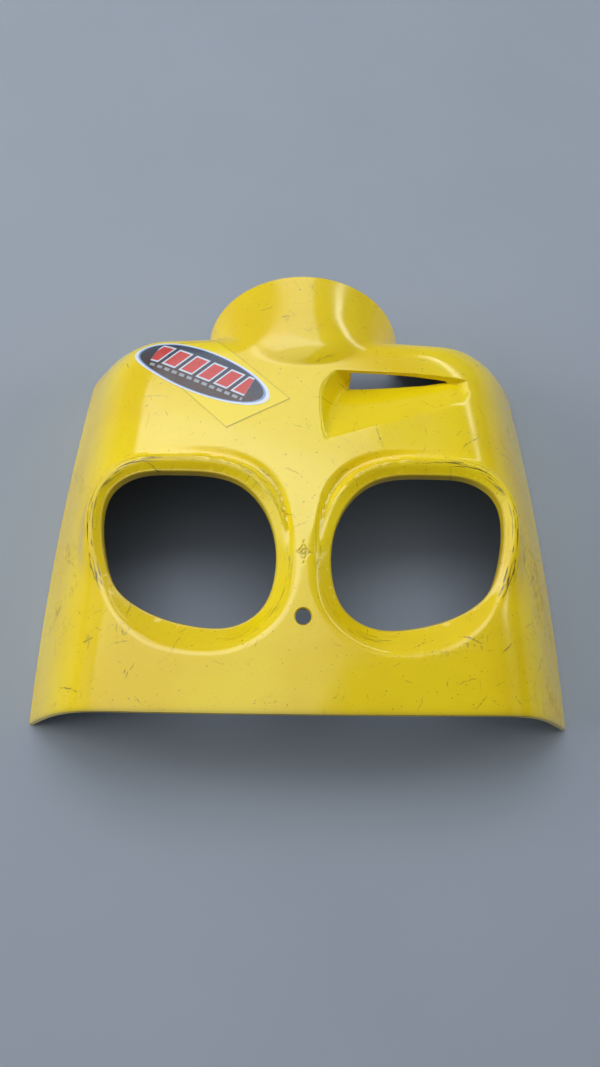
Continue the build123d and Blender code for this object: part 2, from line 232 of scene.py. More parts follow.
class Cowl:
    """The cowl's outer skin as a height above the rim plane, for any point in plan."""

    def __init__(self, form):
        for setting in form.bl_rna.properties:
            if getattr(setting, "unit", "") == "LENGTH":
                setattr(self, setting.identifier, getattr(form, setting.identifier) / MM)
        self.lens_rise, self.lens_fall = form.lens_rise, form.lens_fall
        self.tan_flank, self.tan_back = math.tan(form.flank_lean), math.tan(form.back_lean)
        self.tan_rim = math.tan(form.hood_rim_lean)
        self.low_y, self.high_y = LOW[1], HIGH[1]
        self.rim_half = HIGH[0]
        self.back_foot = self.high_y - self.back_setback
        self.eye_y = self.low_y + self.eye_above_edge
        self.lip_width = 1.0
        self.mark_depth = 0.35
        hole = MOUNTS["centre_hole"]
        self.hole_y = hole["pos_m"][1] / MM
        self.hole_radius = hole["dims"]["r_mm"]
        self.star_y = self.low_y + self.star_above_edge
        curve = closed_curve(EYE_OUTLINE, 2880)
        angle = np.arctan2(curve[:, 1], curve[:, 0])
        order = np.argsort(angle)
        self.eye_angle = angle[order]
        self.eye_reach = np.hypot(curve[:, 0], curve[:, 1])[order]

    # -- plain form
    def half_width(self, y):
        """Half the rim's width: straight at first, then narrowing along an arc."""
        straight = 8.0
        past = np.maximum(y - self.low_y - straight, 0.0)
        return self.rim_half - past ** 2 / (2.0 * self.flank_radius)

    def walls(self, x, y):
        """Height at which a point first lies outside the rounded plan outline, which shrinks
        with height by the walls' lean; found by halving the interval."""
        side = self.half_width(y) - np.abs(x)
        back = self.back_foot - x * x / (2.0 * self.back_radius) - y
        low = np.full(x.shape, -80.0)
        high = np.full(x.shape, 320.0)
        r, halvings = self.shoulder_radius, 24
        for _ in range(halvings):
            z = 0.5 * (low + high)
            u, v = side - z * self.tan_flank, back - z * self.tan_back
            corner = r - np.hypot(r - u, r - v)
            inside = np.where((u < r) & (v < r), corner, np.minimum(u, v)) > 0.0
            low = np.where(inside, z, low)
            high = np.where(inside, high, z)
        return 0.5 * (low + high)

    def face(self, x, y):
        """The crowned face, a bowl turned over."""
        crown = self.low_y + self.face_crown
        return self.face_height - (x * x + (y - crown) ** 2) / (2.0 * self.face_radius)

    def plain(self, x, y):
        """The crowned face, rounded over into the walls."""
        return rounded_min(self.face(x, y), self.walls(x, y), self.edge_blend)

    # -- hood
    def crown(self, y):
        """The hood's crown: it climbs out of the face in a short cubic arc, then falls gently to
        its height at the rim."""
        front, fall = self.high_y - self.hood_start, 1.4
        bulge = front + self.hood_swell
        short = np.maximum(bulge - y, 0.0) / self.hood_swell
        level = self.hood_crown + fall * (1.0 - ease(bulge, self.high_y, y))
        return level - (self.hood_crown + fall - self.face(0.0, front)) * short ** 3

    def hood(self, x, y):
        """A barrel with drafted legs: its section is flatter at the front and a half circle at
        the rim."""
        r, draft, flattest = self.hood_radius, 12.0, 0.70
        crown = self.crown(y)
        round_share = ease(self.high_y - 48.0, self.high_y - 18.0, y)
        rise = r * (flattest + (1.0 - flattest) * round_share)
        turn = r * draft / math.hypot(1.0, draft)
        ax = np.abs(x)
        arch = rise * np.sqrt(np.maximum(1.0 - (np.minimum(ax, turn) / r) ** 2, 0.0))
        return crown - rise + arch - draft * np.maximum(ax - turn, 0.0)

    def hooded(self, x, y):
        """Plain form with the hood, which springs from it with a root radius that widens towards
        its feet."""
        crown_blend, feet_blend, feet = 0.7, 8.7, 52.0
        share = np.minimum(np.abs(x) / feet, 1.0) ** 2
        blend = crown_blend + (feet_blend - crown_blend) * share
        return rounded_max(self.plain(x, y), self.hood(x, y), blend)

    # -- lamp openings
    def eye_place(self, x, y):
        """Distance outside an opening's outline, and the angle round it (0 at the flank)."""
        lx, ly = np.abs(x) - self.eye_x, y - self.eye_y
        angle = np.arctan2(ly, lx)
        reach = np.interp(angle, self.eye_angle, self.eye_reach, period=2.0 * np.pi)
        step = 0.01
        ahead = np.interp(angle + step, self.eye_angle, self.eye_reach, period=2.0 * np.pi)
        behind = np.interp(angle - step, self.eye_angle, self.eye_reach, period=2.0 * np.pi)
        skew = (ahead - behind) / (2.0 * step * reach)
        gap = (np.hypot(lx, ly) - reach) / np.hypot(1.0, skew)
        return gap, np.degrees(angle) % 360.0, lx, ly

    def with_eyes(self, x, y, z):
        """Brow ring, the channel outside it, and the sloping surround down to the lens plane."""
        gap, angle, lx, ly = self.eye_place(x, y)
        turn = turn_round(angle)
        plane = self.lens_height + self.lens_rise * ly - self.lens_fall * lx
        upper = ease(-48.0, 5.0, turn) * (1.0 - ease(135.0, 190.0, turn))
        outer = ease(70.0, 20.0, turn)
        # the ring is a roll that follows the lens plane, with a longer fall on the flank side
        ring_middle, ring_curve = 5.0, 0.03
        proud = 2.7 - 1.5 * ease(115.0, 185.0, turn)
        crest = plane + proud - ring_curve * (gap - ring_middle) ** 2
        shoulder = 6.4 - 0.8 * outer
        fall = 4.4 + 6.0 * outer
        z = z + (crest - z) * upper * (1.0 - ease(shoulder, shoulder + fall, gap))
        # the channel between ring and face, over the top and down the inner side to a blunt tip
        depth, narrow = 2.7, ease(125.0, 190.0, turn)
        outside, inside = 15.2 - 7.0 * narrow, 8.6 - 3.4 * narrow
        deep = ease(55.0, 150.0, turn) * (1.0 - ease(160.0, 192.0, turn))
        floor = ease(inside - 2.2, inside + 2.0, gap) * (1.0 - ease(outside - 2.6, outside, gap))
        z = z - depth * deep * floor
        # the surround slopes from its crease, widest below, down to the edge of the opening
        below = np.maximum(bell(angle, 282.0, 62.0, 38.0), bell(angle + 360.0, 282.0, 62.0, 38.0))
        inner = bell(turn, 182.0, 42.0, 48.0)
        width = 4.6 + 9.6 * below * (1.0 - upper) + 3.4 * inner
        soft = 0.14 + 0.55 * np.maximum(upper, inner)
        share = rounded_min(np.clip(gap / width, -1.0, 2.0), np.ones_like(gap), soft)
        return np.where(gap < width * 1.7, plane + (z - plane) * share, z)

    # -- scoop
    def lip(self, x):
        """The scoop's mouth, in plan: level, then bending forward towards the flank."""
        from_top, bend_start, bend = 56.4, 55.0, 0.05
        return self.high_y - from_top - bend * np.maximum(x - bend_start, 0.0)

    def recess(self, x, y):
        """Depth of the recess: the least of its ramp, its inner wall, its mouth and its end."""
        top = self.high_y
        inner_slope, mouth_slope, end_slope = 1.05, 2.8, 0.8
        crease_start, crease_from_top, crease_turn = 10.7, 99.2, 0.361
        crease_y = top - crease_from_top + crease_turn * (x - crease_start)
        full_depth, depth_lost, level_end, length = 11.6, 8.2, 20.0, 58.0
        share = np.clip((x - level_end) / length, 0.0, 1.0)
        deepest = full_depth - depth_lost * share ** 1.5
        ramp = deepest * (y - crease_y) / np.maximum(self.lip(x) - 3.5 - crease_y, 6.0)
        inner_edge = (8.3 + 0.035 * np.maximum(y - top + 72.0, 0.0) ** 2
                      + 0.14 * np.maximum(top - 82.0 - y, 0.0))
        end_edge = 86.5 - 0.3 * np.maximum(top - 66.0 - y, 0.0)
        depth = rounded_min(ramp, (x - inner_edge) * inner_slope, 1.6)
        depth = rounded_min(depth, (end_edge - x) * end_slope, 2.0)
        return rounded_min(depth, (self.lip(x) - y) * mouth_slope, 1.4)

    def slot(self, x, y):
        """Positive outside the slot: a tall opening in the mouth's wall that tapers to a point."""
        start, end, tall = 24.0, 80.0, 4.7
        along = np.clip((x - start) / (end - start), 0.0, 1.0)
        upper = self.lip(x) - 0.62 - 0.45 * along ** 2
        lower = upper - tall * (1.0 - along ** 2.2)
        outside = np.maximum(y - upper, lower - y)
        return np.maximum(outside, np.maximum(start - x, x - end))

    # -- small marks
    def star(self, x, y):
        """Depth of the centring mark's engraved line: a ring around a four-pointed outline."""
        half_across, half_up, pinch, ring_radius = 4.3, 5.5, 0.62, 1.15
        ax, ay = np.abs(x) / half_across, np.abs(y - self.star_y) / half_up
        reach = (ax ** pinch + ay ** pinch) ** (1.0 / pinch)
        outline = np.abs(reach - 0.93) * 3.4
        ring = np.abs(np.hypot(x, y - self.star_y) - ring_radius)
        return self.mark_depth * (1.0 - ease(0.15, 0.6, np.minimum(outline, ring)))

    def height(self, x, y):
        """The whole outer skin."""
        z = self.with_eyes(x, y, self.hooded(x, y))
        recess = self.recess(x, y)
        scoop_side = x > 2.0
        z = z - rounded_max(recess, np.zeros_like(recess), 0.6) * scoop_side
        return z - self.star(x, y)

    def normal(self, x, y, step=0.25):
        """Unit normals of the skin, from central differences."""
        dx = (self.height(x + step, y) - self.height(x - step, y)) / (2.0 * step)
        dy = (self.height(x, y + step) - self.height(x, y - step)) / (2.0 * step)
        n = np.stack([-dx, -dy, np.ones_like(dx)], -1)
        return n / np.linalg.norm(n, axis=-1, keepdims=True)

    def kept(self, x, y):
        """Signed distances, positive on the skin, to each edge: rim, hood rim, openings, holes."""
        z = self.hooded(x, y)
        past_rim = y - (self.high_y - (self.hood_crown - z) * self.tan_rim)
        raised, least_raised = z - self.plain(x, y), 0.3
        hood_rim = np.maximum(-past_rim, least_raised - raised)
        gap = self.eye_place(x, y)[0] - self.lip_width
        hole = np.hypot(x, y - self.hole_y) - self.hole_radius
        return [z, hood_rim, gap, hole, self.slot(x, y)]


# ------------------------------------------------------------------ mesh helpers
def graded(low, high, step_at):
    """Grid lines from low to high whose spacing follows step_at: the running sum of 1 / step,
    cut into equal shares."""
    t = np.linspace(low, high, 20001)
    rate = 1.0 / step_at(t)
    total = np.concatenate([[0.0], np.cumsum(0.5 * (rate[1:] + rate[:-1]) * np.diff(t))])
    count = int(round(total[-1]))
    return np.interp(np.linspace(0.0, total[-1], count + 1), total, t)


def banded(t, cell, bands):
    """A step of one cell that eases to a finer one inside each (from, to, step) band."""
    step = np.full(t.shape, cell)
    for start, end, fine in bands:
        inside = ease(start - 4.0, start, t) * (1.0 - ease(end, end + 4.0, t))
        step = np.minimum(step, cell + (fine - cell) * inside)
    return step


def put_mesh(name, points, faces, materials, face_material=None, attributes=None, uv=None):
    """Puts points in millimetres and faces (arrays of 3 or 4 indices) into a mesh object."""
    mesh = bpy.data.meshes.new(name)
    polygons = [list(map(int, face)) for block in faces for face in block]
    mesh.from_pydata((points * MM).tolist(), [], polygons)
    for material in materials:
        mesh.materials.append(material)
    if face_material is not None:
        mesh.polygons.foreach_set("material_index", np.asarray(face_material, np.int32))
    for title, values in (attributes or {}).items():
        layer = mesh.attributes.new(title, "FLOAT", "POINT")
        layer.data.foreach_set("value", np.asarray(values, np.float32))
    if uv is not None:
        corner = np.zeros(len(mesh.loops), np.int32)
        mesh.loops.foreach_get("vertex_index", corner)
        layer = mesh.uv_layers.new(name="UVMap")
        layer.data.foreach_set("uv", uv[corner].astype(np.float32).ravel())
    mesh.polygons.foreach_set("use_smooth", np.ones(len(mesh.polygons), bool))
    mesh.validate()
    mesh.update()
    mesh.set_sharp_from_angle(angle=math.radians(38.0))
    piece = bpy.data.objects.new(name, mesh)
    bpy.context.scene.collection.objects.link(piece)
    return piece


def boundary_edges(quads, triangles):
    """Directed edges used by one face only."""
    pairs = [np.stack([quads[:, k], quads[:, (k + 1) % 4]], 1) for k in range(4)]
    pairs += [np.stack([triangles[:, k], triangles[:, (k + 1) % 3]], 1) for k in range(3)]
    edges = np.concatenate(pairs)
    top = edges.max() + 1
    forward = edges[:, 0] * top + edges[:, 1]
    backward = edges[:, 1] * top + edges[:, 0]
    return edges[~np.isin(forward, backward)]


def thickened(outer, inner, quads, triangles):
    """Closes a sheet: the outer faces, the inner ones turned over, and a half-round rim that joins
    them along every boundary edge."""
    edges = boundary_edges(quads, triangles)
    count = len(outer)
    rim = np.unique(edges)
    ahead = np.zeros((count, 3))
    along = outer[edges[:, 1]] - outer[edges[:, 0]]
    np.add.at(ahead, edges[:, 0], along)
    np.add.at(ahead, edges[:, 1], along)
    across = (outer - inner)[rim]
    out = np.cross(ahead[rim], across)
    out /= np.maximum(np.linalg.norm(out, axis=1, keepdims=True), 1e-9)
    middle = 0.5 * (outer + inner)[rim]
    roundness = 0.22
    ridge = middle + out * roundness * np.linalg.norm(across, axis=1, keepdims=True)
    ridge[:, 2] = np.maximum(ridge[:, 2], 0.0)
    number = np.zeros(count, int)
    number[rim] = 2 * count + np.arange(len(rim))
    a, b = edges[:, 0], edges[:, 1]
    upper = np.stack([b, a, number[a], number[b]], 1)
    lower = np.stack([number[b], number[a], a + count, b + count], 1)
    points = np.concatenate([outer, inner, ridge])
    return points, upper, lower


def ring_of_rings(rings):
    """A closed surface lofted round a loop of closed rings; rings is (loops, points, 3)."""
    loops, count = rings.shape[:2]
    i, j = np.meshgrid(np.arange(loops), np.arange(count), indexing="ij")
    up, on = (i + 1) % loops, (j + 1) % count
    quads = np.stack([i * count + j, i * count + on, up * count + on, up * count + j], -1)
    return rings.reshape(-1, 3), quads.reshape(-1, 4)


def outward(piece):
    """Turns every face of a closed mesh outwards."""
    shape = bmesh.new()
    shape.from_mesh(piece.data)
    bmesh.ops.recalc_face_normals(shape, faces=shape.faces)
    shape.to_mesh(piece.data)
    shape.free()


# ------------------------------------------------------------------ the shell
def shell_grid(cowl):
    """Plan positions of the shell's vertices: straight columns near the middle, and columns that
    follow the flanks outside, on rows that bow with the lower edge."""
    def across(t):                # finer over the mark, the hood's legs and the flanks
        bands = [(-6.0, 5.6, 0.48), (54.4, 57.4, 0.24), (119.0, 150.0, 1.1)]
        return banded(np.abs(t), cowl.cell, bands)

    def upward(t):                # finer over the mark, the scoop's mouth and the back wall
        bands = [(cowl.star_y - 6.0, cowl.star_y + 6.0, 0.48),
                 (cowl.high_y - 62.5, cowl.high_y - 55.8, 0.42),
                 (cowl.high_y - 30.0, cowl.high_y - 4.0, 0.85)]
        return banded(t, cowl.cell, bands)

    xi, eta = np.meshgrid(graded(-cowl.rim_half, cowl.rim_half, across),
                          graded(cowl.low_y, cowl.high_y, upward))
    lead = cowl.edge_lead * (xi / cowl.rim_half) ** 2
    y = eta + lead * (1.0 - ease(cowl.low_y, cowl.low_y + 30.0, eta))
    straight = 90.0
    stretch = (cowl.half_width(y) - straight) / (cowl.rim_half - straight)
    past = np.abs(xi) - straight
    x = np.where(past > 0.0, np.sign(xi) * (straight + past * stretch), xi)
    return x, y


def snapped(cowl, x, y):
    """Moves each vertex that lies within half a cell of an edge onto it, along the gradient of
    that edge's distance function."""
    dx = np.abs(np.gradient(x, axis=1))
    dy = np.abs(np.gradient(y, axis=0))
    step, reach = 0.04, 0.52
    for _ in range(2):
        for index in range(len(cowl.kept(x[:1, :1], y[:1, :1]))):
            value = cowl.kept(x, y)[index]
            gx = (cowl.kept(x + step, y)[index] - cowl.kept(x - step, y)[index]) / (2 * step)
            gy = (cowl.kept(x, y + step)[index] - cowl.kept(x, y - step)[index]) / (2 * step)
            size = np.maximum(np.hypot(gx, gy), 1e-6)
            gx, gy, distance = gx / size, gy / size, value / size
            near = np.abs(distance) < reach * (np.abs(gx) * dx + np.abs(gy) * dy)
            bottom = np.zeros(x.shape, bool)
            bottom[0] = True
            near &= ~bottom | (index == 0)
            x = np.where(near, x - distance * gx, x)
            y = np.where(near & ~bottom, y - distance * gy, y)
    return x, y


def shell_faces(keep):
    """Quads whose four corners are kept, and triangles where three are."""
    rows, columns = keep.shape
    index = np.arange(rows * columns).reshape(rows, columns)
    corners = np.stack([index[:-1, :-1], index[:-1, 1:], index[1:, 1:], index[1:, :-1]], -1)
    corners = corners.reshape(-1, 4)
    good = keep.ravel()[corners]
    quads = corners[good.all(1)]
    three = good.sum(1) == 3
    order = np.argsort(~good[three], axis=1, kind="stable")[:, :3]
    triangles = np.take_along_axis(corners[three], np.sort(order, axis=1), axis=1)
    return quads, triangles


SCUFFS = [                 # middle x, y, turn in degrees, half length, half width, strength
    (111.0, -32.0, 98.0, 23.0, 2.2, 0.95), (131.0, -58.0, 102.0, 20.0, 3.5, 0.8),
    (123.0, -96.0, 98.0, 16.0, 5.0, 0.75), (76.0, -101.0, 20.0, 10.0, 2.0, 0.6),
    (-100.0, -86.0, 100.0, 11.0, 2.5, 0.7), (-76.0, -98.0, 4.0, 11.0, 2.5, 0.7),
    (-121.0, 12.0, 95.0, 22.0, 4.0, 0.75), (-113.0, -52.0, 96.0, 16.0, 2.5, 0.7),
    (118.0, 52.0, 112.0, 18.0, 3.0, 0.6), (-8.0, 92.0, 60.0, 9.0, 3.0, 0.6),
    (6.0, 84.0, 25.0, 9.0, 3.0, 0.55),
]


def wear(cowl, x, y):
    """How worn the skin is, from 0 to 1: flanks, the crease below each opening, the lower edge
    and the shoulders, each a soft bell, with a few scuffs of their own."""
    gap, angle = cowl.eye_place(x, y)[:2]
    crease = np.exp(-((gap - 15.0) / 6.0) ** 2) * bell(angle, 298.0, 30.0, 30.0)
    flank = bell(np.abs(x), 121.0, 13.0, 13.0) * bell(y, cowl.eye_y - 8.0, 60.0, 60.0)
    edge = np.exp(-(y - cowl.low_y) / 6.0)
    low_corner = ease(70.0, 120.0, np.abs(x)) * ease(cowl.low_y + 45.0, cowl.low_y + 5.0, y)
    shoulder = ease(cowl.high_y - 60.0, cowl.high_y - 15.0, y) * ease(60.0, 95.0, np.abs(x))
    worn = np.maximum.reduce([0.5 * crease, 0.6 * flank, 0.4 * edge, 0.42 * low_corner,
                              0.35 * shoulder])
    left_share, everywhere = 0.8, 0.15
    worn = worn * np.where(x > 0.0, 1.0, left_share) + everywhere
    for middle_x, middle_y, turn, long, wide, strength in SCUFFS:
        c, s = math.cos(math.radians(turn)), math.sin(math.radians(turn))
        along = (x - middle_x) * c + (y - middle_y) * s
        aside = (y - middle_y) * c - (x - middle_x) * s
        bulk = np.exp(-(along / long) ** 4 - (aside / wide) ** 2)
        worn = np.maximum(worn, strength * bulk)
    return np.clip(worn, 0.0, 1.0)


def brow_wear(cowl, x, y):
    """Rubbing on the brow rings, hardest on their outer sides; and the place of each point along
    and across the ring, in metres, for strokes that run with it."""
    gap, angle = cowl.eye_place(x, y)[:2]
    turn = turn_round(angle)
    least, left_share, ring_radius = 0.42, 0.9, 45.0
    outer = bell(turn, 18.0, 45.0, 60.0)
    rubbed = bell(gap, 6.0, 3.6, 3.6) * (least + (1.0 - least) * outer) * ease(-60.0, -25.0, turn)
    along = np.radians(turn) * ring_radius * MM
    return rubbed * np.where(x > 0.0, 1.0, left_share), along, gap * MM


def soil(cowl, x, y):
    """Painted shade along the lower edge, where the wall's cut edge lies in shadow, and darkening
    of the centring mark's engraved lines.
    """
    mark = cowl.star(x, y) / cowl.mark_depth
    above = y - cowl.low_y - cowl.edge_lead * (x / cowl.rim_half) ** 2
    return np.clip(mark + 0.8 * np.exp(-above / 1.3), 0.0, 1.0)


def build_shell(cowl, materials):
    """The skin z = height(x, y), its back one wall inside along a smoothed normal, and the rims."""
    slack, smoothing = 0.02, 1.6
    x, y = snapped(cowl, *shell_grid(cowl))
    keep = np.min(cowl.kept(x, y), axis=0) > -slack
    quads, triangles = shell_faces(keep)
    z = cowl.height(x, y)
    outer = np.stack([x, y, np.maximum(z, 0.0)], -1).reshape(-1, 3)
    normal = cowl.normal(x, y, smoothing).reshape(-1, 3)
    inner = outer - cowl.wall * normal
    inner[:, 2] = np.maximum(inner[:, 2], 0.0)
    # the second mark paints shade along the lower edge and darkens the centring mark's engraved
    # lines
    marks = {"wear": wear(cowl, x, y), "soil": soil(cowl, x, y)}
    marks.update(zip(("brow", "brow_along", "brow_across"), brow_wear(cowl, x, y)))
    used = np.unique(np.concatenate([quads.ravel(), triangles.ravel()]))
    number = np.full(len(outer), -1)
    number[used] = np.arange(len(used))
    quads, triangles = number[quads], number[triangles]
    points, upper, lower = thickened(outer[used], inner[used], quads, triangles)
    count = len(used)
    faces = [quads, triangles, quads[:, ::-1] + count, triangles[:, ::-1] + count, upper, lower]
    slot = np.concatenate([np.full(len(block), value)
                           for block, value in zip(faces, (0, 0, 1, 1, 0, 0))])
    for title, values in marks.items():
        marks[title] = np.zeros(len(points))
        marks[title][:count] = values.ravel()[used]
    rim_wear = 0.5
    marks["wear"][count:2 * count] = marks["wear"][:count]
    marks["wear"][2 * count:] = rim_wear
    return put_mesh("cowl_skin", points, faces, materials, slot, marks)


def build_lamp_lips(cowl, materials):
    """The rolled edge of each lamp opening: a blunt profile of (distance outside the outline,
    height above the skin) carried round the outline."""
    profile = [(cowl.lip_width, 0.0), (0.6, -0.04), (0.25, -0.25), (0.05, -0.7), (0.0, -1.5),
               (0.0, -5.2), (0.5, -5.8), (1.2, -5.8), (1.7, -5.2), (1.7, -1.2)]
    curve = closed_curve(EYE_OUTLINE, 320)
    along = np.roll(curve, -1, 0) - np.roll(curve, 1, 0)
    away = np.stack([along[:, 1], -along[:, 0]], 1)
    away /= np.linalg.norm(away, axis=1, keepdims=True)
    points, faces = [], []
    centre = np.array([cowl.eye_x, cowl.eye_y])
    for side in (1.0, -1.0):
        place = curve + away * cowl.lip_width + centre
        z = cowl.height(side * place[None, :, 0], place[None, :, 1])[0]
        rings = [np.column_stack([(curve + away * out + centre) * (side, 1.0), z + up])
                 for out, up in profile]
        p, q = ring_of_rings(np.stack(rings))
        faces.append(q + sum(len(block) for block in points))
        points.append(p)
    points = np.concatenate(points)
    # the lips are darkened all round at 0.5: painted shade for the shaded return wall of each
    # opening
    marks = {"wear": np.full(len(points), 0.2), "soil": np.full(len(points), 0.5)}
    piece = put_mesh("lamp_lips", points, faces, materials, attributes=marks)
    outward(piece)
    return piece


# ------------------------------------------------------------------ fittings on the back
def tab_rings(hole, half_width, root, tip, low, high, hole_radius):
    """A plate with a round end and a hole: rings from the hole's edge out to the outline, over a
    small bevel, under and back.  The outline is a half circle carried on to a straight root."""
    turn = np.linspace(0.0, 2.0 * np.pi, 96, endpoint=False)
    side = np.sign(root - tip)
    radius = half_width
    cx, sx = np.cos(turn), np.sin(turn)
    centre = tip + side * radius
    reach = np.minimum(np.abs(root - centre) / np.maximum(np.abs(cx), 1e-6),
                       radius / np.maximum(np.abs(sx), 1e-6))
    toward = cx * side > 0.0
    ox = np.where(toward, centre + cx * reach, centre + cx * radius)
    oy = np.where(toward, sx * reach, sx * radius)
    outline = np.stack([ox, hole[1] + oy], -1)
    inner = np.stack([hole[0] + hole_radius * cx, hole[1] + hole_radius * sx], -1)
    middle = np.array([hole[0], hole[1]])
    bevel, hole_bevel = 0.5, 0.3

    def level(shape, grow, z):
        away = shape - middle
        away /= np.linalg.norm(away, axis=1, keepdims=True)
        return np.concatenate([shape + away * grow, np.full((len(shape), 1), z)], 1)

    return np.stack([
        level(inner, hole_bevel, high), level(outline, -bevel, high),
        level(outline, 0, high - bevel), level(outline, 0, low + bevel),
        level(outline, -bevel, low), level(inner, hole_bevel, low),
        level(inner, 0, low + hole_bevel), level(inner, 0, high - hole_bevel)])


def turned(profile, centre, count=72):
    """A closed profile of (radius, height) carried round a vertical axis."""
    turn = np.linspace(0.0, 2.0 * np.pi, count, endpoint=False)
    radius, height = np.asarray(profile, float).T
    x = centre[0] + radius[:, None] * np.cos(turn)
    y = centre[1] + radius[:, None] * np.sin(turn)
    z = np.broadcast_to(height[:, None], x.shape)
    return np.stack([x, y, z], -1)


def rib(cowl, y, side, foot, thick, rise):
    """A triangular rib on edge, whose root follows the leaning wall: a four-cornered profile with
    a blunt end, given a thickness."""
    def wall_at(height):
        return float(cowl.half_width(y)) - 0.6 * cowl.wall - height * cowl.tan_flank

    top, tip = foot + 1.2 * rise, wall_at(foot) - rise
    blunt_in, blunt_up = 0.8, 0.9
    profile = np.array([[wall_at(foot), foot], [tip, foot], [tip + blunt_in, foot + blunt_up],
                        [wall_at(top), top]])
    ends = [np.stack([side * profile[:, 0], np.full(4, at), profile[:, 1]], -1)
            for at in (y - thick / 2, y + thick / 2)]
    i = np.arange(4)
    sides = np.stack([i, (i + 1) % 4, (i + 1) % 4 + 4, i + 4], 1)
    return np.concatenate(ends), [sides, np.array([[3, 2, 1, 0], [4, 5, 6, 7]])]


def build_back_fittings(cowl, materials):
    """Four tabs with their ribs, and the boss behind the centre hole."""
    tab_half, tab_low, tab_high, tab_hole, tab_past_hole = 8.5, 12.0, 14.6, 4.2, 9.0
    rib_offset, rib_thick, rib_rise, overlap = 7.0, 1.6, 9.0, 0.3
    blocks = []
    for mount in MOUNTS.values():
        if mount["kind"] != "threaded_hole":
            continue
        x, y, _ = [value / MM for value in mount["pos_m"]]
        side = np.sign(x)
        tip = x - side * tab_past_hole
        wall = float(cowl.half_width(y)) - (tab_low + tab_high) / 2.0 * cowl.tan_flank
        rings = tab_rings((x, y), tab_half, side * (wall - 0.6 * cowl.wall), tip, tab_low,
                          tab_high, tab_hole)
        p, q = ring_of_rings(rings)
        blocks.append((p, [q]))
        for offset in (-rib_offset, rib_offset):
            blocks.append(rib(cowl, y + offset, side, tab_high - overlap, rib_thick, rib_rise))
    boss_radius, boss_sunk, boss_rise, beside = 8.0, 1.5, 2.4, 8.0
    skin = float(cowl.height(np.array([[0.0]]), np.array([[cowl.hole_y + beside]]))[0, 0])
    top, low = skin - boss_sunk, skin - cowl.wall - boss_rise
    r, outer, bevel, small_bevel = cowl.hole_radius, boss_radius, 0.6, 0.4
    profile = [(r, top), (outer, top), (outer, low + bevel), (outer - bevel, low),
               (r + small_bevel, low), (r, low + small_bevel)]
    p, q = ring_of_rings(turned(profile, (0.0, cowl.hole_y)))
    blocks.append((p, [q]))
    points, faces, start = [], [], 0
    for p, block_faces in blocks:
        points.append(p)
        faces += [block + start for block in block_faces]
        start += len(p)
    piece = put_mesh("back_fittings", np.concatenate(points), faces, materials,
                     attributes={"wear": np.full(start, 0.3)})
    outward(piece)
    return piece


# ------------------------------------------------------------------ stickers
def build_slab(cowl, name, x, y, top, materials, uv):
    """A thin closed plate that lies on the skin: a grid lifted along the skin's normal by its top,
    a copy sunk slightly into the skin, and walls all round."""
    sunk, smoothing = 0.1, 1.0
    normal = cowl.normal(x, y, smoothing).reshape(-1, 3)
    base = np.stack([x, y, cowl.height(x, y)], -1).reshape(-1, 3)
    points = np.concatenate([base + top * normal, base - sunk * normal])
    rows, columns = x.shape
    quads, triangles = shell_faces(np.ones((rows, columns), bool))
    count = rows * columns
    a, b = boundary_edges(quads, triangles).T
    walls = np.stack([b, a, a + count, b + count], 1)
    faces = [quads, quads[:, ::-1] + count, walls]
    both = np.concatenate([uv.reshape(-1, 2)] * 2)
    return put_mesh(name, points, faces, materials, uv=both)


def disc(rows, columns):
    """A grid on the unit disc, by the elliptical map of the square."""
    u, v = np.meshgrid(np.linspace(-1.0, 1.0, columns), np.linspace(-1.0, 1.0, rows))
    return u * np.sqrt(1.0 - v * v / 2.0), v * np.sqrt(1.0 - u * u / 2.0)


def node_plan(name):
    """Plan box of a CAD node, in millimetres."""
    low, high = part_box(name)
    return low.x / MM, low.y / MM, high.x / MM, high.y / MM


# ------------------------------------------------------------------ materials
EASED = {"interpolation_type": "SMOOTHSTEP", "clamp": True}        # settings of a Map Range node
COLOURS = {"data_type": "RGBA"}                                     # settings of a Mix node


def linear(hex_value):
    """sRGB hex to linear RGBA."""
    text = hex_value.lstrip("#")
    values = [int(text[k:k + 2], 16) / 255.0 for k in (0, 2, 4)]
    done = [v / 12.92 if v <= 0.04045 else ((v + 0.055) / 1.055) ** 2.4 for v in values]
    return (*done, 1.0)


def fill(tree, node, inputs):
    """Fills a node's enabled inputs: by name from a dict, or in order from a list.  A value may be
    a socket, a node (its first enabled output) or a constant."""
    sockets = [socket for socket in node.inputs if socket.enabled]
    if isinstance(inputs, dict):
        pairs = [(next(s for s in sockets if s.name == key), v) for key, v in inputs.items()]
    else:
        pairs = zip(sockets, inputs)
    for socket, value in pairs:
        if isinstance(value, bpy.types.Node):
            value = next(output for output in value.outputs if output.enabled)
        if isinstance(value, bpy.types.NodeSocket):
            tree.links.new(value, socket)
        else:
            socket.default_value = value


def add_node(tree, kind, inputs=(), **settings):
    """Adds a node, sets its properties, then fills its inputs."""
    node = tree.nodes.new("ShaderNode" + kind)
    for key, value in settings.items():
        setattr(node, key, value)
    fill(tree, node, inputs)
    return node


def new_material(name):
    """An empty node material with its output; returns the material, tree and shader."""
    material = bpy.data.materials.new(name)
    material.use_nodes = True
    tree = material.node_tree
    tree.nodes.clear()
    shader = add_node(tree, "BsdfPrincipled")
    add_node(tree, "OutputMaterial", {"Surface": shader})
    return material, tree, shader


